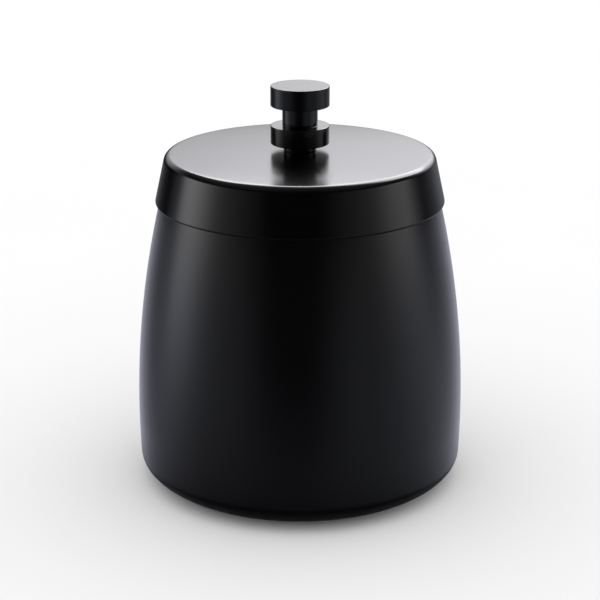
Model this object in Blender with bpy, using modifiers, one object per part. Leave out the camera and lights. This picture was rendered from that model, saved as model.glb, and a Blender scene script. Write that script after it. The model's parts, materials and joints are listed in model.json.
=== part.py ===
"""Double-walled ice bucket with a lift-off insulated lid and a turned spool knob.

The bucket stands on z = 0 with its axis on +Z. Outlines are (radius, height) pairs in millimetres,
turned about Z.
"""

import math

import bmesh
import bpy
from mathutils import Vector
from mathutils.geometry import interpolate_bezier, intersect_line_sphere_2d

MM = 0.001
COLLECTION_NAME = "ice_bucket"
GAP = 0.3  # clearance that neighbouring faces keep
SHEET = 0.8  # steel sheet of every shell and pan
COARSE_STEPS = 24
KNOB_STEPS = 32
FINE_STEPS = 48

# Outer shell: one long arc from the mouth over the low belly, then a soft corner to the base
BODY_RADIUS = 80.0
BELLY_Z = 34.0  # height of the widest point
WALL_ARC_RADIUS = 450.0
FOOT_CLEARANCE = 1.0  # the steel stays this far above the table
BASE_CORNER_Z = 13.0
BASE_FLAT_RADIUS = 59.5
SHELL_TOP_Z = 152.6

# Inner liner: deep-drawn cup whose lip rolls out to the shell's top edge
MOUTH_RADIUS = 59.5
LINER_FLOOR_RADIUS = 57.5
LINER_FLOOR_Z = 12.0
LINER_CORNER = 14.0
LIP_Z = SHELL_TOP_Z + GAP

# Base: dished plate, its vent plug, and the rubber ring that the bucket stands on
BASE_RECESS_Z = 2.4
BASE_RECESS_RADIUS = 56.8
BASE_LIP_RADIUS = 58.0
VENT_RADIUS = 2.6
PLUG_HEAD_RADIUS = 4.0
PLUG_HEAD_HEIGHT = 1.2
PLUG_BARB_RADIUS = 3.3
PLUG_TIP_RADIUS = 2.0
PLUG_TIP_HEIGHT = 1.6
FOOT_OUTER_RADIUS = 56.0
FOOT_INNER_RADIUS = 46.0
FOOT_CHAMFER = 0.5

# Lid: domed cap with a conical skirt, and an inner pan that plugs the mouth
LID_TOP_Z = 164.2
SKIRT_Z = 139.9
SKIRT_RADIUS = 69.5
SKIRT_ANGLE = math.radians(12.5)
DOME_RADIUS = 1300.0
LID_EDGE_RADIUS = 3.5
PAN_RADIUS = 57.8
PAN_Z = 147.0
PAN_CORNER = 4.0
FLANGE_RADIUS = 63.8
GASKET_THICKNESS = 1.3
GASKET_RADIUS = 59.0
GASKET_FLAT_RADIUS = 63.2
GASKET_DROP = 5.0  # how far the sleeve reaches down into the mouth

# Knob: two discs on a neck, standing on a collar, held by one screw from inside the lid
COLLAR_RADIUS = 7.8
COLLAR_HEIGHT = 3.2
KNOB_DISC_RADIUS = 14.0
KNOB_DISC_HEIGHT = 8.8
KNOB_NECK_RADIUS = 8.4
KNOB_NECK_HEIGHT = 9.3
KNOB_CAP_HEIGHT = 9.6
KNOB_CHAMFER = 0.5
KNOB_BORE_RADIUS = 2.8
KNOB_BORE_DEPTH = 15.5

# M5 screw, with its bush and washers
SCREW_RADIUS = 2.4
SCREW_CLEARANCE_RADIUS = 2.8
SCREW_HEAD_RADIUS = 4.75
SCREW_HEAD_HEIGHT = 3.0
SCREW_ENGAGEMENT = 13.5
RECESS_WIDTH = 1.1
RECESS_LENGTH = 5.0
RECESS_DEPTH = 1.8
BUSH_RADIUS = 5.0
SEAL_WASHER_RADIUS = 6.0
FLAT_WASHER_RADIUS = 5.5
LOCK_WASHER_RADIUS = 4.6
WASHER_THICKNESS = 1.0
LOCK_WASHER_THICKNESS = 1.2
LOCK_WASHER_SLOT = 0.9

# Heights that follow from the stack
LIP_RADIUS = 2.3
RIM_Z = LIP_Z + LIP_RADIUS
FLANGE_Z = RIM_Z + GASKET_THICKNESS + 2 * GAP
KNOB_Z = LID_TOP_Z + COLLAR_HEIGHT
SEAL_WASHER_Z = PAN_Z - GAP - WASHER_THICKNESS
FLAT_WASHER_Z = SEAL_WASHER_Z - GAP - WASHER_THICKNESS
LOCK_WASHER_Z = FLAT_WASHER_Z - GAP - LOCK_WASHER_THICKNESS
SCREW_SEAT_Z = LOCK_WASHER_Z - GAP

# (red, green, blue), metallic, roughness
FINISHES = {
    "black_coat": ((0.012, 0.012, 0.013), 0.0, 0.32),
    "black_knob": ((0.012, 0.012, 0.013), 0.0, 0.24),
    "brushed_steel": ((0.62, 0.61, 0.59), 1.0, 0.3),
    "zinc_steel": ((0.55, 0.55, 0.56), 1.0, 0.35),
    "silicone": ((0.62, 0.62, 0.60), 0.0, 0.55),
    "black_rubber": ((0.02, 0.02, 0.02), 0.0, 0.7),
}


def clear_scene():
    for obj in list(bpy.data.objects):
        bpy.data.objects.remove(obj)


def new_collection(name):
    collection = bpy.data.collections.new(name)
    bpy.context.scene.collection.children.link(collection)
    return collection


def new_material(name):
    colour, metallic, roughness = FINISHES[name]
    material = bpy.data.materials.new(name)
    material.use_nodes = True
    shader = material.node_tree.nodes["Principled BSDF"]
    shader.inputs["Base Color"].default_value = (*colour, 1.0)
    shader.inputs["Metallic"].default_value = metallic
    shader.inputs["Roughness"].default_value = roughness
    return material


def body_radius(z):
    """The outer shell's radius at a height above its base corner: a long arc that is widest at the belly."""
    return BODY_RADIUS - WALL_ARC_RADIUS + math.sqrt(WALL_ARC_RADIUS ** 2 - (z - BELLY_Z) ** 2)


def base_corner(count):
    """Points of the curve that leaves the wall along its slope and meets the base level."""
    quarter = 4 / 3 * math.tan(math.pi / 8)  # handle length of a quarter turn
    wall_slope = (BELLY_Z - BASE_CORNER_Z) / WALL_ARC_RADIUS
    drop = (BASE_CORNER_Z - FOOT_CLEARANCE) * quarter
    start = Vector((body_radius(BASE_CORNER_Z), BASE_CORNER_Z))
    end = Vector((BASE_FLAT_RADIUS, FOOT_CLEARANCE))
    start_handle = start - Vector((wall_slope, 1.0)) * drop
    end_handle = end + Vector(((start.x - end.x) * quarter, 0.0))
    return [tuple(p) for p in interpolate_bezier(start, start_handle, end_handle, end, count)]


def spread(first, last, count):
    """count evenly spaced values from first to last."""
    return [first + (last - first) * i / (count - 1) for i in range(count)]


def arc(centre, radius, start_deg, end_deg, count):
    """Points on an arc; 0 degrees points outwards and 90 degrees up."""
    angles = [math.radians(a) for a in spread(start_deg, end_deg, count)]
    return [(centre[0] + radius * math.cos(a), centre[1] + radius * math.sin(a)) for a in angles]


def offset(path, distance):
    """The path moved sideways by a distance, to the right of its direction, with mitred corners."""
    points = [Vector(p) for p in path]
    normals = []
    for a, b in zip(points, points[1:]):
        along = (b - a).normalized()
        normals.append(Vector((along.y, -along.x)))
    moved = []
    for i, point in enumerate(points):
        before = normals[max(i - 1, 0)]
        after = normals[min(i, len(normals) - 1)]
        mitre = (before + after).normalized()
        moved.append(tuple(point + mitre * distance / mitre.dot(before)))
    return moved


def sheet(path, thickness=SHEET):
    """A closed outline of sheet metal: the path is its visible face, and the metal lies to its right."""
    return path + offset(path, thickness)[::-1]


def clockwise(outline):
    """The outline in the order that turns its faces outwards: down its outer side."""
    pairs = zip(outline, outline[1:] + outline[:1])
    area = sum(a[0] * b[1] - b[0] * a[1] for a, b in pairs)
    return outline[::-1] if area > 0 else outline


def turned(name, outline, steps, material, collection):
    """A solid of revolution about Z. An outline that starts and ends on the axis stays open there."""
    outline = clockwise(outline)
    on_axis = [i for i, (radius, _) in enumerate(outline) if radius == 0.0]
    if on_axis and on_axis != [0, len(outline) - 1]:
        outline = outline[on_axis[-1]:] + outline[:on_axis[-1]]
    shape = bmesh.new()
    verts = [shape.verts.new((radius * MM, 0.0, z * MM)) for radius, z in outline]
    for a, b in zip(verts, verts[1:]):
        shape.edges.new((a, b))
    if not on_axis:
        shape.edges.new((verts[-1], verts[0]))
    mesh = bpy.data.meshes.new(name)
    shape.to_mesh(mesh)
    shape.free()
    obj = bpy.data.objects.new(name, mesh)
    collection.objects.link(obj)
    screw = obj.modifiers.new("turn", "SCREW")
    screw.axis = "Z"
    screw.angle = 2 * math.pi
    screw.steps = steps
    screw.render_steps = steps
    screw.use_merge_vertices = True
    screw.merge_threshold = 0.00001
    obj.data.materials.append(material)
    return obj


def ring_outline(inner, outer, low, high, chamfer=0.0):
    """A ring's section, with its outer corners chamfered."""
    if not chamfer:
        return [(inner, high), (outer, high), (outer, low), (inner, low)]
    return [(inner, high), (outer - chamfer, high), (outer, high - chamfer),
            (outer, low + chamfer), (outer - chamfer, low), (inner, low)]


def box_cutter(name, size, location, collection):
    """A box in millimetres that only cuts."""
    shape = bmesh.new()
    bmesh.ops.create_cube(shape, size=1.0)
    bmesh.ops.scale(shape, vec=Vector(size) * MM, verts=shape.verts)
    mesh = bpy.data.meshes.new(name)
    shape.to_mesh(mesh)
    shape.free()
    cutter = bpy.data.objects.new(name, mesh)
    cutter.location = Vector(location) * MM
    cutter.hide_render = True
    cutter.display_type = "WIRE"
    collection.objects.link(cutter)
    return cutter


def cut(obj, cutter):
    modifier = obj.modifiers.new(cutter.name, "BOOLEAN")
    modifier.operation = "DIFFERENCE"
    modifier.object = cutter


def outer_shell(collection, materials):
    """The black wall, from its top edge down over the belly and round the base corner."""
    wall = [(body_radius(z), z) for z in spread(SHELL_TOP_Z, BASE_CORNER_Z, 9)[:-1]]
    turned("outer_shell", sheet(wall + base_corner(6)), FINE_STEPS, materials["black_coat"], collection)


def inner_liner(collection, materials):
    """The steel cup: rolled lip, slightly tapered wall, rounded corner and flat floor."""
    lip = arc((MOUTH_RADIUS + LIP_RADIUS, LIP_Z), LIP_RADIUS, 0, 180, 7)
    corner_centre = (LINER_FLOOR_RADIUS - LINER_CORNER, LINER_FLOOR_Z + LINER_CORNER)
    corner = arc(corner_centre, LINER_CORNER, 0, -90, 6)
    visible = lip + corner + [(0.0, LINER_FLOOR_Z)]
    hidden = offset(visible, -SHEET)
    hidden[-1] = (0.0, LINER_FLOOR_Z - SHEET)
    turned("inner_liner", visible + hidden[::-1], FINE_STEPS, materials["brushed_steel"], collection)


def base_pieces(collection, materials):
    """The dished plate welded into the shell's bottom, the plug in its vent, and the foot ring below it."""
    underside = [(VENT_RADIUS, BASE_RECESS_Z), (BASE_RECESS_RADIUS, BASE_RECESS_Z),
                 (BASE_LIP_RADIUS, FOOT_CLEARANCE), (BASE_FLAT_RADIUS - GAP, FOOT_CLEARANCE)]
    plate = underside + offset(underside, -SHEET)[::-1]
    turned("base_plate", plate, FINE_STEPS, materials["brushed_steel"], collection)

    foot_height = BASE_RECESS_Z - GAP
    foot = [(FOOT_INNER_RADIUS, foot_height), (FOOT_OUTER_RADIUS, foot_height),
            (FOOT_OUTER_RADIUS, FOOT_CHAMFER), (FOOT_OUTER_RADIUS - FOOT_CHAMFER, 0.0),
            (FOOT_INNER_RADIUS + FOOT_CHAMFER, 0.0), (FOOT_INNER_RADIUS, FOOT_CHAMFER)]
    turned("foot_ring", foot, FINE_STEPS, materials["black_rubber"], collection)

    head_top = BASE_RECESS_Z - GAP
    head_low = head_top - PLUG_HEAD_HEIGHT
    barb_z = BASE_RECESS_Z + SHEET + GAP
    tip_z = barb_z + PLUG_TIP_HEIGHT
    stem_radius = VENT_RADIUS - GAP
    plug = [(0.0, tip_z), (PLUG_TIP_RADIUS, tip_z), (PLUG_BARB_RADIUS, barb_z), (stem_radius, barb_z),
            (stem_radius, head_top), (PLUG_HEAD_RADIUS, head_top), (PLUG_HEAD_RADIUS, head_low),
            (0.0, head_low)]
    turned("vent_plug", plug, COARSE_STEPS, materials["black_rubber"], collection)


def lid_shell(collection, materials):
    """The black cap: shallow dome, rounded edge and a skirt that flares over the bucket's neck."""
    foot = Vector((SKIRT_RADIUS, SKIRT_Z))
    outwards = Vector((math.cos(SKIRT_ANGLE), math.sin(SKIRT_ANGLE)))
    upwards = Vector((-outwards.y, outwards.x))
    dome_centre = Vector((0.0, LID_TOP_Z - DOME_RADIUS))
    beside_skirt = foot - outwards * LID_EDGE_RADIUS
    crossings = intersect_line_sphere_2d(beside_skirt, beside_skirt + upwards, dome_centre,
                                         DOME_RADIUS - LID_EDGE_RADIUS, False)
    edge_centre = max(crossings, key=lambda point: point.y)  # touches the dome and the skirt from inside
    dome_start = math.degrees(math.acos(SCREW_CLEARANCE_RADIUS / DOME_RADIUS))
    dome_end = math.degrees(math.acos(edge_centre.x / (DOME_RADIUS - LID_EDGE_RADIUS)))
    dome = arc(dome_centre, DOME_RADIUS, dome_start, dome_end, 5)
    edge = arc(edge_centre, LID_EDGE_RADIUS, dome_end, math.degrees(SKIRT_ANGLE), 6)
    visible = dome[:-1] + edge + [(SKIRT_RADIUS, SKIRT_Z)]
    return turned("lid_shell", sheet(visible), FINE_STEPS, materials["black_coat"], collection)


def lid_pan(collection, materials):
    """The steel plug under the lid, with a flange that the gasket seals to the rim."""
    corner = arc((PAN_RADIUS - PAN_CORNER, PAN_Z + PAN_CORNER), PAN_CORNER, -90, 0, 5)
    visible = [(SCREW_CLEARANCE_RADIUS, PAN_Z)] + corner + [(PAN_RADIUS, FLANGE_Z), (FLANGE_RADIUS, FLANGE_Z)]
    pan = visible + offset(visible, -SHEET)[::-1]
    return turned("lid_pan", pan, FINE_STEPS, materials["brushed_steel"], collection)


def lid_gasket(collection, materials):
    """An L-section silicone ring: a sleeve in the mouth and a flat between the rim and the flange."""
    inner = PAN_RADIUS + GAP
    flat_top = FLANGE_Z - GAP
    flat_low = flat_top - GASKET_THICKNESS
    sleeve_low = flat_low - GASKET_DROP
    section = [(inner, flat_top), (GASKET_FLAT_RADIUS, flat_top), (GASKET_FLAT_RADIUS, flat_low),
               (GASKET_RADIUS, flat_low), (GASKET_RADIUS, sleeve_low + GAP), (inner, sleeve_low)]
    return turned("lid_gasket", section, FINE_STEPS, materials["silicone"], collection)


def knob(collection, materials):
    """The spool: lower disc, neck and cap disc, with a blind threaded hole for the screw."""
    disc_top = KNOB_DISC_HEIGHT
    cap_low = disc_top + KNOB_NECK_HEIGHT
    cap_top = cap_low + KNOB_CAP_HEIGHT
    edge = KNOB_DISC_RADIUS - KNOB_CHAMFER
    outline = [
        (0.0, cap_top), (edge, cap_top), (KNOB_DISC_RADIUS, cap_top - KNOB_CHAMFER),
        (KNOB_DISC_RADIUS, cap_low + KNOB_CHAMFER), (edge, cap_low), (KNOB_NECK_RADIUS, cap_low),
        (KNOB_NECK_RADIUS, disc_top), (edge, disc_top), (KNOB_DISC_RADIUS, disc_top - KNOB_CHAMFER),
        (KNOB_DISC_RADIUS, KNOB_CHAMFER), (edge, 0.0), (KNOB_BORE_RADIUS, 0.0),
        (KNOB_BORE_RADIUS, KNOB_BORE_DEPTH), (0.0, KNOB_BORE_DEPTH + KNOB_BORE_RADIUS / 2),
    ]
    return turned("knob", outline, KNOB_STEPS, materials["black_knob"], collection)


def knob_screw(collection, cutters, materials):
    """A pan-head machine screw, head down, with a cross recess."""
    tip = KNOB_Z + SCREW_ENGAGEMENT - SCREW_SEAT_Z
    point_length, point_radius, head_edge = 1.0, 1.7, 1.2
    outline = [
        (0.0, tip), (point_radius, tip), (SCREW_RADIUS, tip - point_length), (SCREW_RADIUS, 0.0),
        (SCREW_HEAD_RADIUS, 0.0), (SCREW_HEAD_RADIUS, head_edge - SCREW_HEAD_HEIGHT),
        (SCREW_HEAD_RADIUS - head_edge, -SCREW_HEAD_HEIGHT), (0.0, -SCREW_HEAD_HEIGHT),
    ]
    screw = turned("knob_screw", outline, COARSE_STEPS, materials["zinc_steel"], collection)
    recess_z = SCREW_SEAT_Z - SCREW_HEAD_HEIGHT
    for name, size in (("recess_x", (RECESS_LENGTH, RECESS_WIDTH, 2 * RECESS_DEPTH)),
                       ("recess_y", (RECESS_WIDTH, RECESS_LENGTH, 2 * RECESS_DEPTH))):
        cut(screw, box_cutter(name, size, (0.0, 0.0, recess_z), cutters))
    return screw


def washers_and_bush(collection, cutters, materials):
    """(piece, height of its underside) for the bush, the collar and the three washers on the screw."""
    bore = SCREW_CLEARANCE_RADIUS
    bush_z = PAN_Z + SHEET + GAP
    bush_height = LID_TOP_Z - SHEET - GAP - bush_z
    collar_height = COLLAR_HEIGHT - 2 * GAP
    pieces = [
        (turned("spacer_bush", ring_outline(bore, BUSH_RADIUS, 0.0, bush_height), COARSE_STEPS,
                materials["zinc_steel"], collection), bush_z),
        (turned("knob_collar", ring_outline(bore, COLLAR_RADIUS, 0.0, collar_height), COARSE_STEPS,
                materials["black_knob"], collection), LID_TOP_Z + GAP),
        (turned("seal_washer", ring_outline(bore, SEAL_WASHER_RADIUS, 0.0, WASHER_THICKNESS),
                COARSE_STEPS, materials["black_rubber"], collection), SEAL_WASHER_Z),
        (turned("flat_washer", ring_outline(bore, FLAT_WASHER_RADIUS, 0.0, WASHER_THICKNESS),
                COARSE_STEPS, materials["zinc_steel"], collection), FLAT_WASHER_Z),
    ]
    lock = turned("lock_washer", ring_outline(bore, LOCK_WASHER_RADIUS, 0.0, LOCK_WASHER_THICKNESS),
                  COARSE_STEPS, materials["zinc_steel"], collection)
    slot_size = (LOCK_WASHER_RADIUS, LOCK_WASHER_SLOT, 3 * LOCK_WASHER_THICKNESS)
    slot_centre = (bore / 2 + LOCK_WASHER_RADIUS / 2, 0.0, LOCK_WASHER_Z + LOCK_WASHER_THICKNESS / 2)
    cut(lock, box_cutter("lock_washer_slot", slot_size, slot_centre, cutters))
    return pieces + [(lock, LOCK_WASHER_Z)]


def place_on_lid(obj, z, lid):
    """Puts a lid piece at its height, as a child of the empty that the lid lifts by."""
    obj.parent = lid
    obj.location.z = z * MM - lid.location.z


def build():
    clear_scene()
    parts = new_collection(COLLECTION_NAME)
    cutters = new_collection("cutters")
    materials = {name: new_material(name) for name in FINISHES}

    outer_shell(parts, materials)
    inner_liner(parts, materials)
    base_pieces(parts, materials)

    lid = bpy.data.objects.new("lid_lift_axis", None)
    lid.location.z = RIM_Z * MM
    parts.objects.link(lid)
    for piece in (lid_shell(parts, materials), lid_pan(parts, materials), lid_gasket(parts, materials)):
        place_on_lid(piece, 0.0, lid)
    place_on_lid(knob(parts, materials), KNOB_Z, lid)
    place_on_lid(knob_screw(parts, cutters, materials), SCREW_SEAT_Z, lid)
    for piece, z in washers_and_bush(parts, cutters, materials):
        place_on_lid(piece, z, lid)


build()
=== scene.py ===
"""Looks of the ice bucket: finely turned surfaces, black coatings, spun steel, silicone and rubber.

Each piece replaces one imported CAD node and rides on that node's body. Outlines are (radius, height) pairs in
millimetres, turned about the bucket's axis; a third value on a point rounds that corner. The studio's light
isn't plain: see LIGHT_RINGS.
"""

import json
import math

import bmesh
import bpy
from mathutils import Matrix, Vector
from mathutils.geometry import interpolate_bezier, intersect_line_sphere_2d


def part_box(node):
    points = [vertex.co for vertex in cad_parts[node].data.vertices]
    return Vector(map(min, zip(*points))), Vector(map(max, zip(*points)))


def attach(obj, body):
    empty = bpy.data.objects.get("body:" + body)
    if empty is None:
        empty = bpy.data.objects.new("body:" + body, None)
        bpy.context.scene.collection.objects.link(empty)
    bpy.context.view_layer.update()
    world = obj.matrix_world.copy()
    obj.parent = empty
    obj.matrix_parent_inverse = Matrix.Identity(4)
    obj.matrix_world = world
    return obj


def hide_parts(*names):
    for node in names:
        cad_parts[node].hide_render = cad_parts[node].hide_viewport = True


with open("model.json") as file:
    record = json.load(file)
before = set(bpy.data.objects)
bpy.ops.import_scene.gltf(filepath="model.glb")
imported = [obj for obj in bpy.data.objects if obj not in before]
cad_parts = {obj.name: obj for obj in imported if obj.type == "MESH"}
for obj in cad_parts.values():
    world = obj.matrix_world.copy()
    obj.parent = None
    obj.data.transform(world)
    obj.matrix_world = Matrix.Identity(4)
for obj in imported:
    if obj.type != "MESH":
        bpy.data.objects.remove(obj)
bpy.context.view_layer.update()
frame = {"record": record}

MM = 0.001
SEGMENTS = 192  # round a turned piece
WALL_SEGMENTS = 256  # round the two coated shells, whose outlines show most
RING_SEGMENTS = 96  # round the screw and the rings on it
PLUG_SEGMENTS = 64
ARC_STEPS = 6  # in a rounded corner
EDGE_STEPS = 5  # in the half circle round a sheet's edge
SUPPORT = 0.15  # how far past a rounded corner its flat stays flat, in mm
SMOOTH_ANGLE = math.radians(40)  # a sharper edge than this stays hard

# Driving sizes that a node's box doesn't give, in mm
SHEET = 0.8
BELLY_Z = 34.0
WALL_ARC_RADIUS = 450.0
FOOT_CLEARANCE = 1.0
BASE_CORNER_Z = 13.0
BASE_FLAT_RADIUS = 59.5
DOME_RADIUS = 1300.0
LID_EDGE_RADIUS = 3.5
SKIRT_ANGLE = math.radians(12.5)
HEM_HEIGHT = 6.0
SCREW_HOLE_RADIUS = 2.8
KNOB_NECK_RADIUS = 8.4
KNOB_DISC_HEIGHT = 8.8
KNOB_NECK_HEIGHT = 9.3
SCREW_RADIUS = 2.4
SCREW_HEAD_HEIGHT = 3.0
RECESS_LENGTH = 5.0
RECESS_WIDTH = 1.1
RECESS_DEPTH = 1.8
LOCK_WASHER_SPLIT = math.radians(14)


def reach(node):
    """(largest radius, lowest height, highest height) of a node at rest, in mm."""
    low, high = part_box(node)
    return high.x / MM, low.z / MM, high.z / MM


# ---------------------------------------------------------------- outlines

def spread(first, last, count):
    return [first + (last - first) * i / (count - 1) for i in range(count)]


def arc(centre, radius, start_deg, end_deg, count):
    """Points on an arc; 0 degrees points outwards and 90 degrees up."""
    angles = [math.radians(a) for a in spread(start_deg, end_deg, count)]
    return [(centre[0] + radius * math.cos(a), centre[1] + radius * math.sin(a)) for a in angles]


def offset(path, distance):
    """The path moved sideways by a distance, to the right of its direction, with mitred corners."""
    points = [Vector(p) for p in path]
    normals = []
    for a, b in zip(points, points[1:]):
        along = (b - a).normalized()
        normals.append(Vector((along.y, -along.x)))
    moved = []
    for i, point in enumerate(points):
        before = normals[max(i - 1, 0)]
        after = normals[min(i, len(normals) - 1)]
        mitre = (before + after).normalized()
        moved.append(tuple(point + mitre * distance / mitre.dot(before)))
    return moved


def with_edges(path, thickness):
    """A closed outline of sheet metal: the path is its visible face, and half circles round its two edges."""
    inner = offset(path, thickness)

    def round_edge(a, b):
        a, b = Vector(a), Vector(b)
        centre, arm = (a + b) / 2, (a - b) / 2
        outward = Vector((arm.y, -arm.x))
        turns = spread(0, math.pi, EDGE_STEPS + 2)[1:-1]
        return [tuple(centre + arm * math.cos(t) + outward * math.sin(t)) for t in turns]

    end = round_edge(path[-1], inner[-1])
    start = round_edge(inner[0], path[0])
    return path + end + inner[::-1] + start


def rounded(outline):
    """The closed outline, with each corner that has a third value turned into an arc of that radius."""
    result = []
    for i, corner in enumerate(outline):
        point = Vector(corner[:2])
        if len(corner) == 2:
            result.append(tuple(point))
            continue
        to_before = Vector(outline[i - 1][:2]) - point
        to_after = Vector(outline[(i + 1) % len(outline)][:2]) - point
        before, after = to_before.normalized(), to_after.normalized()
        half = before.angle(after) / 2
        cut = corner[2] / math.tan(half)
        centre = point + (before + after).normalized() * corner[2] / math.sin(half)
        first, last = point + before * cut - centre, point + after * cut - centre
        turn = first.angle_signed(last)
        if to_before.length > 2 * (cut + SUPPORT):
            result.append(tuple(point + before * (cut + SUPPORT)))
        for t in spread(0, 1, ARC_STEPS + 1):
            cos, sin = math.cos(turn * t), math.sin(turn * t)
            across = first.x * cos + first.y * sin
            along = first.y * cos - first.x * sin
            result.append((centre.x + across, centre.y + along))
        if to_after.length > 2 * (cut + SUPPORT):
            result.append(tuple(point + after * (cut + SUPPORT)))
    return result


# ---------------------------------------------------------------- meshes

def revolve(name, outline, segments=SEGMENTS, split=0.0):
    """A closed solid of revolution about Z from a closed outline. A split opens the ring by that angle."""
    shape = bmesh.new()
    count = segments + 1 if split else segments
    turns = [split / 2 + (2 * math.pi - split) * i / segments for i in range(count)]
    rings = []
    for radius, z in outline:
        if radius < 1e-6:
            rings.append([shape.verts.new((0.0, 0.0, z * MM))])
            continue
        spots = [(radius * MM * math.cos(a), radius * MM * math.sin(a), z * MM) for a in turns]
        rings.append([shape.verts.new(spot) for spot in spots])
    for upper, lower in zip(rings, rings[1:] + rings[:1]):
        if len(upper) == len(lower) == 1:
            continue
        for i in range(segments):
            j = (i + 1) % count
            corners = [upper[i % len(upper)], lower[i % len(lower)]]
            corners += [lower[j % len(lower)], upper[j % len(upper)]]
            shape.faces.new(list(dict.fromkeys(corners)))  # a point on the axis is in there twice
    if split:
        shape.faces.new([circle[0] for circle in rings])
        shape.faces.new([circle[-1] for circle in rings])
    bmesh.ops.recalc_face_normals(shape, faces=shape.faces)
    return solid(name, shape)


def solid(name, shape):
    """An object from a bmesh, smooth except at its hard edges."""
    mesh = bpy.data.meshes.new(name)
    shape.to_mesh(mesh)
    shape.free()
    piece = bpy.data.objects.new(name, mesh)
    bpy.context.scene.collection.objects.link(piece)
    smooth(mesh)
    return piece


def smooth(mesh):
    mesh.shade_smooth()
    mesh.set_sharp_from_angle(angle=SMOOTH_ANGLE)


def cut(piece, cutter):
    """Cuts the cutter's shape out of the piece, and removes the cutter."""
    boolean = piece.modifiers.new("cut", "BOOLEAN")
    boolean.operation = "DIFFERENCE"
    boolean.solver = "EXACT"
    boolean.object = cutter
    whole = piece.data
    name = whole.name
    evaluated = piece.evaluated_get(bpy.context.evaluated_depsgraph_get())
    piece.data = bpy.data.meshes.new_from_object(evaluated)
    piece.modifiers.clear()
    bpy.data.objects.remove(cutter)
    bpy.data.meshes.remove(whole)
    piece.data.name = name
    smooth(piece.data)


def fit_out(piece, node, material):
    """The piece stands for the node: it rides on the node's body and wears the given material, and the node is
    hidden.
    """
    record = frame["record"]
    body = next(b for b, nodes in record["behaviour"]["bodies"].items() if node in nodes)
    piece.data.materials.append(material)
    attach(piece, body)
    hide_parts(node)


# ---------------------------------------------------------------- bucket

def wall_radius(z):
    """The shell's radius: a long arc that is widest at the belly."""
    widest = reach("outer_shell")[0]
    return widest - WALL_ARC_RADIUS + math.sqrt(WALL_ARC_RADIUS ** 2 - (z - BELLY_Z) ** 2)


def base_corner(count):
    """Points of the curve that leaves the wall along its slope and meets the base level."""
    quarter = 4 / 3 * math.tan(math.pi / 8)
    wall_slope = (BELLY_Z - BASE_CORNER_Z) / WALL_ARC_RADIUS
    drop = (BASE_CORNER_Z - FOOT_CLEARANCE) * quarter
    start = Vector((wall_radius(BASE_CORNER_Z), BASE_CORNER_Z))
    end = Vector((BASE_FLAT_RADIUS + SHEET / 2, FOOT_CLEARANCE))
    start_handle = start - Vector((wall_slope, 1.0)) * drop
    end_handle = end + Vector(((start.x - end.x) * quarter, 0.0))
    return [tuple(p) for p in interpolate_bezier(start, start_handle, end_handle, end, count)]


def outer_shell():
    """The coated wall: one long arc over the belly and a soft corner at the base."""
    top = reach("outer_shell")[2] - SHEET / 2
    wall = [(wall_radius(z), z) for z in spread(top, BASE_CORNER_Z, 48)[:-1]]
    return revolve("outer_shell_fine", with_edges(wall + base_corner(24), SHEET), WALL_SEGMENTS)


def inner_liner():
    """The drawn cup: rolled lip, a wall that leans in slightly, and a round corner into the floor."""
    lip_reach, floor, rim = reach("inner_liner")
    lip_radius = 2.3
    mouth = lip_reach - 2 * lip_radius
    floor_top, corner, floor_radius = floor + SHEET, 14.0, 57.5
    lip = arc((mouth + lip_radius, rim - lip_radius), lip_radius, 0, 180, 17)
    bend = arc((floor_radius - corner, floor_top + corner), corner, 0, -90, 20)
    wall_top, wall_low = Vector(lip[-1]), Vector(bend[0])
    wall = [tuple(wall_top.lerp(wall_low, t)) for t in (0.01, 0.25, 0.5, 0.75, 0.99)]
    flat = [(floor_radius - corner - SUPPORT * 2, floor_top), (0.0, floor_top)]
    visible = lip + wall + bend + flat
    hidden = offset(visible, -SHEET)
    hidden[-1] = (0.0, floor)
    return revolve("inner_liner_fine", visible + hidden[::-1])


def base_plate():
    """A pressed plate, dished up inside a soft step, with a hole for the vent plug."""
    plate_reach, low, high = reach("base_plate")
    recess = high - SHEET
    vent, dish, step_start, step_middle, step_end = 2.6, 52.0, 56.4, 57.2, 58.0
    step = interpolate_bezier(Vector((step_start, recess)), Vector((step_middle, recess)),
                              Vector((step_middle, low)), Vector((step_end, low)), 8)
    underside = [(vent, recess), (dish, recess), (step_start, recess)]
    underside += [tuple(p) for p in step[1:]]
    underside.append((plate_reach, low))
    return revolve("base_plate_fine", underside + offset(underside, -SHEET)[::-1])


def foot_ring():
    """A flat rubber ring with three shallow grooves in the face it stands on."""
    outer, low, high = reach("foot_ring")
    inner, groove, depth = 46.0, 0.9, 0.35
    outline = [(inner, high), (outer, high), (outer, low, 0.6)]
    for centre in (53.4, 51.0, 48.6):
        outline += [(centre + groove / 2, low, 0.12), (centre + groove / 2, low + depth, 0.12),
                    (centre - groove / 2, low + depth, 0.12), (centre - groove / 2, low, 0.12)]
    outline.append((inner, low, 0.6))
    return revolve("foot_ring_fine", rounded(outline))


def vent_plug():
    """A push-in plug: low domed head, stem, and a barb that holds it behind the plate."""
    head_reach, low, high = reach("vent_plug")
    head_top, recess = low + 1.2, low + 1.8
    stem, barb, tip, crown = 2.3, 3.3, 2.0, 2.4
    barb_z = high - 1.6
    outline = [(0.0, high), (tip, high, 0.4), (barb, barb_z, 0.3), (stem, barb_z), (stem, recess)]
    outline += [(stem, head_top), (head_reach, head_top, 0.3), (head_reach, low + 0.5, 0.5)]
    outline += [(crown, low, 1.0), (0.0, low)]
    return revolve("vent_plug_fine", rounded(outline), PLUG_SEGMENTS)


# ---------------------------------------------------------------- lid

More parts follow.
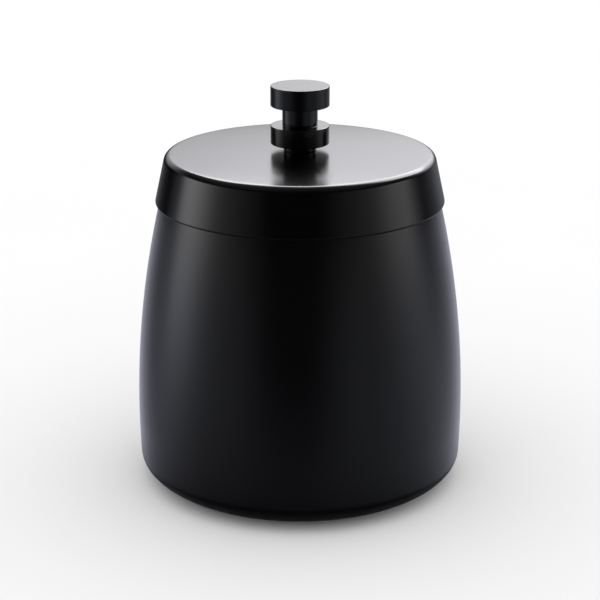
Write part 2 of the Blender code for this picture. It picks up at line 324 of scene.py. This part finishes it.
def lid_shell():
    """Shallow dome, tight edge and flared skirt, whose lower edge is folded inwards to a double hem."""
    skirt, low, top = reach("lid_shell")
    foot = Vector((skirt, low))
    out = Vector((math.cos(SKIRT_ANGLE), math.sin(SKIRT_ANGLE)))
    up = Vector((-out.y, out.x))
    dome_centre = Vector((0.0, top - DOME_RADIUS))
    foot_inside = foot - out * LID_EDGE_RADIUS
    crossings = intersect_line_sphere_2d(foot_inside, foot_inside + up, dome_centre,
                                         DOME_RADIUS - LID_EDGE_RADIUS, False)
    edge_centre = max(crossings, key=lambda point: point.y)
    dome_end = Vector((0.0, 1.0)).angle(edge_centre - dome_centre)
    dome = [dome_centre + Vector((math.sin(t), math.cos(t))) * DOME_RADIUS
            for t in spread(SCREW_HOLE_RADIUS / DOME_RADIUS, dome_end, 24)[:-1]]
    turn = math.degrees(SKIRT_ANGLE)
    edge = arc(edge_centre, LID_EDGE_RADIUS, 90 - math.degrees(dome_end), turn, 28)
    bead = SHEET
    bead_centre = foot - out * bead + up * bead
    wall = [tuple(Vector(edge[-1]).lerp(bead_centre + out * bead, t)) for t in spread(0.02, 0.98, 6)]
    face = [tuple(p) for p in dome] + edge + wall
    roll = arc(bead_centre, bead, turn, turn - 180, 11)
    hem_top = Vector(roll[-1]) + up * HEM_HEIGHT
    hem = [tuple(Vector(roll[-1]) + up * 0.3), tuple(hem_top), tuple(hem_top + out * SHEET * 0.98)]
    inside = [p for p in offset(face, SHEET) if p[1] > hem[-1][1] + 0.5]
    return revolve("lid_shell_fine", face + roll + hem + inside[::-1], WALL_SEGMENTS)


def lid_pan():
    """The spun plug under the lid: flat bottom, rounded corner, and a flange over the rim."""
    flange, low, high = reach("lid_pan")
    wall, corner = 57.8, 4.0
    flange_z = high - SHEET
    bend = arc((wall - corner, low + corner), corner, -90, 0, 12)
    flat = [(radius, low) for radius in (SCREW_HOLE_RADIUS, 8.5, 9.0, 30.0, wall - corner - SUPPORT)]
    neck = [(wall, low + corner + SUPPORT), (wall, flange_z - 0.5)]
    neck += [(wall + 0.12, flange_z - 0.15), (wall + 0.45, flange_z)]
    visible = flat + bend + neck + [(wall + 0.8, flange_z), (flange, flange_z)]
    return revolve("lid_pan_fine", visible + offset(visible, -SHEET)[::-1])


def lid_gasket():
    """L-section ring, with a soft sealing lip at the foot of its sleeve."""
    outer, low, high = reach("lid_gasket")
    inner, sleeve, flat = 58.1, 59.0, 1.3
    flat_low = high - flat
    outline = [(inner, high), (outer, high, 0.35), (outer, flat_low, 0.5), (sleeve, flat_low, 0.4),
               (sleeve, low + 2.6, 0.2), (sleeve + 0.25, low + 1.8, 0.2), (sleeve, low + 1.0, 0.2),
               (sleeve - 0.4, low, 0.25), (inner, low + 0.1, 0.15)]
    return revolve("lid_gasket_fine", rounded(outline))


def knob():
    """Two discs on a neck, with softly broken edges and small fillets where the neck meets them."""
    disc, low, top = reach("knob")
    neck_low = low + KNOB_DISC_HEIGHT
    neck_top = neck_low + KNOB_NECK_HEIGHT
    break_edge, fillet = 0.45, 0.15
    bore, bore_top, drill_point = SCREW_HOLE_RADIUS, low + 15.5, 1.2
    outline = [
        (0.0, top), (disc * 0.5, top), (disc, top, break_edge), (disc, neck_top, break_edge),
        (KNOB_NECK_RADIUS, neck_top, fillet), (KNOB_NECK_RADIUS, neck_low, fillet),
        (disc, neck_low, break_edge), (disc, low, break_edge), (bore, low, 0.3),
        (bore, bore_top, 0.2), (0.0, bore_top + drill_point),
    ]
    return revolve("knob_fine", rounded(outline))


def recess_wing(low, turn):
    """One wing of the cross recess: a block that narrows as it goes in."""
    shape = bmesh.new()
    bmesh.ops.create_cube(shape, size=1.0)
    for vert in shape.verts:
        inside = vert.co.z > 0
        along = vert.co.x * RECESS_LENGTH * (0.5 if inside else 1.0)
        across = vert.co.y * RECESS_WIDTH * (0.8 if inside else 1.0)
        height = low + RECESS_DEPTH * (1.0 if inside else -0.1)
        spot = (-across, along) if turn else (along, across)
        vert.co = Vector((*spot, height)) * MM
    return solid("recess_wing", shape)


def knob_screw():
    """A pan-head machine screw, head down, with a cross recess."""
    head, low, tip = reach("knob_screw")
    seat = low + SCREW_HEAD_HEIGHT
    outline = [(0.0, tip), (SCREW_RADIUS, tip, 0.8), (SCREW_RADIUS, seat, 0.2)]
    outline += [(head, seat, 0.12), (head, low, 1.7), (0.0, low)]
    screw = revolve("knob_screw_fine", rounded(outline), RING_SEGMENTS)
    for turn in (0, 1):
        cut(screw, recess_wing(low, turn))
    return screw


def lock_washer():
    """A spring washer pressed flat, open at its split."""
    return revolve("lock_washer_fine", ring_outline("lock_washer", 0.2), RING_SEGMENTS, LOCK_WASHER_SPLIT)


def ring(node, break_edge):
    """A plain turned ring round the screw."""
    return revolve(node + "_fine", ring_outline(node, break_edge), RING_SEGMENTS)


def ring_outline(node, break_edge):
    """The section of a ring round the screw, with broken edges, half as wide at the hole."""
    inner = SCREW_HOLE_RADIUS
    outer, low, high = reach(node)
    inner_break = break_edge * 0.5
    outside = [(outer, high, break_edge), (outer, low, break_edge)]
    return rounded([(inner, high, inner_break)] + outside + [(inner, low, inner_break)])


# ---------------------------------------------------------------- materials

def add_node(tree, kind, links=(), **settings):
    """A new node. links gives each input a value or another node's output; settings are its properties."""
    node = tree.nodes.new(kind)
    for key, value in settings.items():
        setattr(node, key, value)
    for socket, source in dict(links).items():
        if isinstance(source, bpy.types.NodeSocket):
            tree.links.new(source, node.inputs[socket])
        else:
            node.inputs[socket].default_value = source
    return node


class Nodes:
    """A material's node tree, with short ways to add and link what the finishes share."""

    def __init__(self, name):
        self.material = bpy.data.materials.new(name)
        self.material.use_nodes = True
        self.tree = self.material.node_tree
        self.shader = self.tree.nodes["Principled BSDF"]
        self.place = self.add("ShaderNodeTexCoord").outputs["Object"]

    def add(self, kind, links=(), **settings):
        return add_node(self.tree, kind, links, **settings)

    def shade(self, **values):
        """Sets the shader's inputs by name: sheen_weight is its Sheen Weight."""
        for key, value in values.items():
            socket = self.shader.inputs[key.replace("_", " ").title().replace("Ior", "IOR")]
            if isinstance(value, bpy.types.NodeSocket):
                self.tree.links.new(value, socket)
            else:
                socket.default_value = value

    def noise(self, size, detail=2.0, place=None, stretch=None):
        """Noise whose grain is about size metres across."""
        place = place or self.place
        if stretch:
            place = self.add("ShaderNodeVectorMath", {0: place, 1: stretch}, operation="MULTIPLY").outputs[0]
        links = {"Vector": place, "Scale": 1 / size, "Detail": detail}
        return self.add("ShaderNodeTexNoise", links).outputs["Fac"]

    def between(self, amount, low, high, start=0.0, end=1.0):
        """The amount, mapped from start..end to low..high."""
        links = {"Value": amount, "From Min": start, "From Max": end, "To Min": low, "To Max": high}
        return self.add("ShaderNodeMapRange", links).outputs["Result"]

    def tint(self, amount, dark, light):
        links = {0: amount, 6: (*dark, 1.0), 7: (*light, 1.0)}
        return self.add("ShaderNodeMix", links, data_type="RGBA").outputs[2]

    def bump(self, height, depth, after=None):
        links = {"Height": height, "Distance": depth, "Strength": 1.0}
        if after:
            links["Normal"] = after
        return self.add("ShaderNodeBump", links).outputs["Normal"]

    def turned_place(self):
        """(distance from the axis, 0, height): the same all round, for rings left by spinning or turning."""
        axes = self.add("ShaderNodeSeparateXYZ", {0: self.place})
        flat = self.add("ShaderNodeCombineXYZ", {0: axes.outputs[0], 1: axes.outputs[1]})
        radius = self.add("ShaderNodeVectorMath", {0: flat.outputs[0]}, operation="LENGTH").outputs["Value"]
        return self.add("ShaderNodeCombineXYZ", {0: radius, 2: axes.outputs[2]}).outputs[0]


def black_coating(name, roughness, grain, sheen):
    """Black coat on metal: fine orange peel, a slightly uneven gloss, and a faint bloom at grazing angles.

    The bloom fades out towards the foot: painted shade, which darkens the base's lowest part as if it faced a
    dark floor. An exported model lacks it, because its weight isn't one number.
    """
    n = Nodes(name)
    cloud = n.noise(0.035, 3.0)
    peel = n.noise(grain, 2.0)
    speck = n.noise(0.0004, 1.0)
    n.shade(base_color=n.tint(cloud, (0.0004, 0.0004, 0.0005), (0.0009, 0.0009, 0.0011)),
            roughness=n.between(cloud, roughness - 0.02, roughness + 0.02, 0.3, 0.7), ior=1.5)
    height = n.add("ShaderNodeSeparateXYZ", {0: n.place}).outputs[2]
    # painted shade: the sheen fades out below about 28 mm, so the foot looks darker
    n.shade(sheen_weight=n.between(height, 0.0, sheen, 0.005, 0.028))
    n.shade(sheen_roughness=0.30, sheen_tint=(0.80, 0.82, 1.0, 1.0))
    fine = n.bump(speck, 0.000004)
    n.shade(normal=n.bump(peel, 0.00001, after=fine))
    return n.material


def spun_steel(name, roughness):
    """Satin stainless steel brushed round the axis: rings of scratches, with a highlight across them."""
    n = Nodes(name)
    rings = n.noise(0.0022, 4.0, n.turned_place())
    bright = (0.70, 0.69, 0.67)
    dark = tuple(c * 0.68 for c in bright)
    n.shade(base_color=n.tint(n.between(rings, 0.0, 1.0, 0.30, 0.62), dark, bright), metallic=0.86,
            roughness=n.between(rings, roughness + 0.05, roughness - 0.02, 0.3, 0.7))
    tangent = n.add("ShaderNodeTangent", direction_type="RADIAL", axis="Z").outputs[0]
    n.shade(anisotropic=0.4, tangent=tangent, normal=n.bump(rings, 0.00001))
    return n.material


def mill_steel(name):
    """Pressed sheet: dull, with a cloudy rolled surface."""
    n = Nodes(name)
    cloud, roll = n.noise(0.012, 4.0), n.noise(0.0012, 3.0, stretch=(1.0, 14.0, 1.0))
    n.shade(base_color=n.tint(cloud, (0.36, 0.355, 0.35), (0.52, 0.51, 0.50)), metallic=1.0,
            roughness=n.between(roll, 0.34, 0.52, 0.3, 0.7), normal=n.bump(roll, 0.000008))
    return n.material


def zinc_plate(name):
    """Bright zinc with a faintly blue and yellow passivation and turning marks."""
    n = Nodes(name)
    cloud, rings = n.noise(0.004, 3.0), n.noise(0.0002, 2.0, n.turned_place())
    n.shade(base_color=n.tint(cloud, (0.50, 0.52, 0.56), (0.66, 0.64, 0.58)), metallic=1.0,
            roughness=n.between(cloud, 0.24, 0.42, 0.3, 0.7), normal=n.bump(rings, 0.000008))
    return n.material


def silicone(name):
    """Milky grey silicone, soft and slightly see-through at its edges."""
    n = Nodes(name)
    cloud, grain = n.noise(0.015, 2.0), n.noise(0.0005, 2.0)
    n.shade(base_color=n.tint(cloud, (0.56, 0.565, 0.56), (0.66, 0.66, 0.65)),
            roughness=n.between(grain, 0.42, 0.55, 0.3, 0.7), normal=n.bump(grain, 0.000012))
    n.shade(subsurface_weight=0.35, subsurface_radius=(1.0, 1.0, 1.0), subsurface_scale=0.0012)
    return n.material


def rubber(name):
    """Matt black moulded rubber with a dusty grain."""
    n = Nodes(name)
    cloud, grain = n.noise(0.01, 3.0), n.noise(0.0004, 3.0)
    n.shade(base_color=n.tint(cloud, (0.014, 0.014, 0.015), (0.030, 0.030, 0.031)),
            roughness=n.between(grain, 0.62, 0.82, 0.3, 0.7), normal=n.bump(grain, 0.00003))
    return n.material


# ---------------------------------------------------------------- studio

def soft_box(name, place, size, radiance):
    """A rectangular light that faces the bucket. radiance is how bright its face looks."""
    aim = Vector((0.0, 0.0, 0.1))
    data = bpy.data.lights.new(name, "AREA")
    data.shape = "RECTANGLE"
    data.size, data.size_y = size
    data.energy = radiance * math.pi * size[0] * size[1]
    light = bpy.data.objects.new(name, data)
    light.location = place
    light.rotation_euler = (Vector(place) - aim).to_track_quat("Z", "Y").to_euler()
    light.visible_camera = False
    light.visible_diffuse = False
    bpy.context.scene.collection.objects.link(light)


def studio_world():
    """Light from all round, of three kinds: the camera sees white, matt surfaces see the even TENT, and gloss
    sees LIGHT_RINGS, blended from each elevation to the next."""
    world = bpy.data.worlds.new("studio")
    world.use_nodes = True
    world.cycles.sampling_method = "NONE"  # only rays sent out by a surface see it, so each sees its own kind
    bpy.context.scene.world = world
    tree = world.node_tree
    tree.nodes.clear()

    def add(kind, links=(), **settings):
        return add_node(tree, kind, links, **settings)

    def glow_of(colour, strength):
        return add("ShaderNodeBackground", {"Color": colour, "Strength": strength}).outputs[0]

    def choose(ray, otherwise, seen):
        """What rays of one kind see, and what all others do."""
        return add("ShaderNodeMixShader", {0: path.outputs[ray], 1: otherwise, 2: seen}).outputs[0]

    def maths(operation, a, b=0.0):
        return add("ShaderNodeMath", {0: a, 1: b}, operation=operation).outputs[0]

    axes = add("ShaderNodeSeparateXYZ", {0: add("ShaderNodeTexCoord").outputs["Generated"]})
    azimuth = maths("ARCTAN2", axes.outputs[0], maths("MULTIPLY", axes.outputs[1], -1.0))
    around = maths("MULTIPLY_ADD", azimuth, 0.5 / math.pi)
    around.node.inputs[2].default_value = 0.5
    elevation = maths("DEGREES", maths("ARCSINE", axes.outputs[2]))

    def light_ring(stops, tint):
        ramp = add("ShaderNodeValToRGB", {0: around})
        elements = ramp.color_ramp.elements
        for element, (angle, radiance) in zip((elements[0], elements[1]), (stops[0], stops[-1])):
            element.position = angle / 360 + 0.5
            element.color = (*(radiance * c for c in tint), 1.0)
        for angle, radiance in stops[1:-1]:
            elements.new(angle / 360 + 0.5).color = (*(radiance * c for c in tint), 1.0)
        return ramp.outputs[0]

    below, light = None, None
    for level, tint, stops in LIGHT_RINGS:
        glow = light_ring(stops, tint)
        if light is None:
            light = glow
        else:
            links = {"Value": elevation, "From Min": below, "From Max": level}
            blend = add("ShaderNodeMapRange", links).outputs["Result"]
            light = add("ShaderNodeMix", {0: blend, 6: light, 7: glow}, data_type="RGBA").outputs[2]
        below = level
    white = (1.0, 1.0, 1.0, 1.0)
    path = add("ShaderNodeLightPath")
    unseen = choose("Is Glossy Ray", glow_of(white, TENT), glow_of(light, 1.0))
    add("ShaderNodeOutputWorld", {"Surface": choose("Is Camera Ray", unseen, glow_of(white, 1.0))})


def paper_disc(name, radius, sides, height, unseen_by, paper):
    """A round flat sheet of the studio. Rays of the kinds in unseen_by pass through it."""
    shape = bmesh.new()
    bmesh.ops.create_circle(shape, cap_ends=True, segments=sides, radius=radius)
    mesh = bpy.data.meshes.new(name)
    shape.to_mesh(mesh)
    shape.free()
    mesh.materials.append(paper)
    disc = bpy.data.objects.new(name, mesh)
    disc.location.z = height
    for kind in unseen_by:
        setattr(disc, "visible_" + kind, False)
    bpy.context.scene.collection.objects.link(disc)
    return disc


def pale_floor():
    """White paper, just clear of the foot ring's flat underside. Gloss mirrors LIGHT_RINGS in its place."""
    n = Nodes("floor_paper")
    n.shade(base_color=n.tint(n.noise(0.3), (0.86, 0.86, 0.86), (0.90, 0.90, 0.90)), roughness=0.9,
            specular_ior_level=0.0)
    floor = paper_disc("floor", 8.0, 96, -0.0001, ("glossy", "shadow"), n.material)


def painted_shadow_card():
    """A dark sheet under the bucket, which only reflections see: a painted shadow that darkens the base's
    lowest edge as the floor's contact shadow would.
    """
    n = Nodes("painted_shadow_paper")
    # painted shadow: near-black paper that only the base's reflection shows
    n.shade(base_color=(0.022, 0.022, 0.025, 1.0), roughness=1.0)
    card = paper_disc("painted_shadow_card", 0.086, 64, -0.0005, ("camera", "diffuse", "shadow"), n.material)


def photo_camera():
    """The photo's view: a long lens from in front, about 19 degrees down."""
    data = bpy.data.cameras.new("camera")
    data.sensor_width = 36.0
    data.lens = 103.35
    camera = bpy.data.objects.new("camera", data)
    camera.location = (0.0, -0.800, 0.360)
    camera.rotation_euler = (math.radians(90.0 - 18.75), 0.0, 0.0)
    bpy.context.scene.collection.objects.link(camera)
    bpy.context.scene.camera = camera


COOL, NEUTRAL, LILAC = (0.90, 0.93, 1.08), (1.0, 0.99, 0.985), (1.0, 0.985, 1.05)

# What gloss sees of the room: elevation in degrees, tint, then (degrees round from the front, radiance), left
# to right. The values are listed one by one. They were first worked out from the photo's tones and what the
# coat reflects at each angle, then changed until renders matched, so they are fitted to one picture.
LIGHT_RINGS = (
    (-90, COOL, ((-180, 0.02), (180, 0.02))),
    (-37, COOL, ((-180, 0.01), (180, 0.01))),
    (-26, COOL, ((-180, 0.40), (-155, 0.36), (-128, 0.24), (-106, 0.20), (-89, 0.16), (-74, 0.15),
                 (-47, 0.16), (-20, 0.15), (0, 0.16), (30, 0.20), (60, 0.24), (90, 0.28), (116, 0.36),
                 (144, 0.45), (180, 0.50))),
    (-17, COOL, ((-180, 0.35), (-155, 0.30), (-128, 0.08), (-106, 0.52), (-89, 0.52), (-74, 0.32),
                 (-47, 0.26), (-23, 0.08), (0, 0.02), (12, 0.04), (35, 0.25), (60, 0.27), (89, 0.42),
                 (106, 0.46), (128, 0.26), (144, 0.32), (180, 0.40))),
    (-6, COOL, ((-180, 0.02), (-155, 0.03), (-128, 0.0), (-112, 0.35), (-104, 1.50), (-90, 1.50),
                (-76, 0.60), (-60, 0.27), (-40, 0.20), (-20, 0.02), (10, 0.02), (35, 0.24), (60, 0.24),
                (89, 0.66), (103, 0.50), (114, 0.08), (130, 0.15), (148, 0.30), (165, 0.10), (180, 0.05))),
    (3, NEUTRAL, ((-180, 0.02), (-155, 0.02), (-128, 0.0), (-113, 0.10), (-105, 2.0), (-96, 2.5),
                  (-84, 1.6), (-70, 0.50), (-47, 0.24), (-25, 0.01), (15, 0.01), (35, 0.18), (60, 0.32),
                  (78, 0.95), (94, 1.25), (104, 0.30), (112, 0.01), (128, 0.10), (148, 0.30), (165, 0.10),
                  (180, 0.05))),
    (9, NEUTRAL, ((-180, 1.4), (-165, 0.7), (-150, 0.5), (-138, 0.0), (-112, 0.0), (-106, 2.5),
                  (-98, 2.9), (-86, 2.5), (-74, 1.0), (-62, 0.36), (-42, 0.16), (-22, 0.01), (15, 0.01),
                  (35, 0.14), (55, 0.34), (68, 0.70), (84, 1.80), (97, 1.70), (104, 0.0), (120, 0.0),
                  (138, 0.6), (165, 2.1), (180, 1.4))),
    (15, LILAC, ((-180, 2.0), (-165, 1.05), (-150, 0.8), (-130, 0.20), (-112, 0.6), (-95, 1.0),
                 (-80, 0.5), (-60, 0.0), (60, 0.0), (75, 0.4), (90, 0.6), (105, 0.0), (125, 0.40),
                 (140, 2.1), (165, 3.0), (180, 2.0))),
    (22, LILAC, ((-180, 2.6), (-165, 1.3), (-150, 0.9), (-130, 0.20), (-112, 0.0), (110, 0.0),
                 (125, 0.80), (140, 2.8), (165, 3.8), (180, 2.6))),
    (34, NEUTRAL, ((-180, 0.0), (-100, 0.05), (-50, 0.12), (0, 0.04), (50, 0.10), (100, 0.05), (180, 0.0))),
    (60, NEUTRAL, ((-180, 0.50), (-90, 0.20), (0, 0.08), (90, 0.16), (180, 0.50))),
    (90, NEUTRAL, ((-180, 0.20), (180, 0.20))),
)
TENT = 1.14  # the even white light that only matt surfaces see

body_coat = black_coating("body_coating", 0.25, 0.0010, 0.60)
lid_coat = black_coating("lid_coating", 0.19, 0.0014, 0.0)
knob_coat = black_coating("knob_coating", 0.14, 0.0010, 0.0)

fit_out(outer_shell(), "outer_shell", body_coat)
fit_out(inner_liner(), "inner_liner", spun_steel("liner_steel", 0.26))
fit_out(base_plate(), "base_plate", mill_steel("base_steel"))
fit_out(vent_plug(), "vent_plug", rubber("plug_rubber"))
fit_out(foot_ring(), "foot_ring", rubber("foot_rubber"))
fit_out(lid_shell(), "lid_shell", lid_coat)
fit_out(lid_pan(), "lid_pan", spun_steel("pan_steel", 0.24))
fit_out(lid_gasket(), "lid_gasket", silicone("gasket_silicone"))
fit_out(knob(), "knob", knob_coat)
fit_out(ring("knob_collar", 0.12), "knob_collar", knob_coat)
zinc = zinc_plate("fastener_zinc")
fit_out(ring("spacer_bush", 0.2), "spacer_bush", zinc)
fit_out(ring("flat_washer", 0.12), "flat_washer", zinc)
fit_out(ring("seal_washer", 0.2), "seal_washer", rubber("seal_rubber"))
fit_out(knob_screw(), "knob_screw", zinc)
fit_out(lock_washer(), "lock_washer", zinc)

pale_floor()
painted_shadow_card()
studio_world()
soft_box("softbox", (0.31, 0.85, 1.00), (1.43, 0.75), 7.0)
photo_camera()
bpy.context.scene.view_settings.view_transform = "Standard"
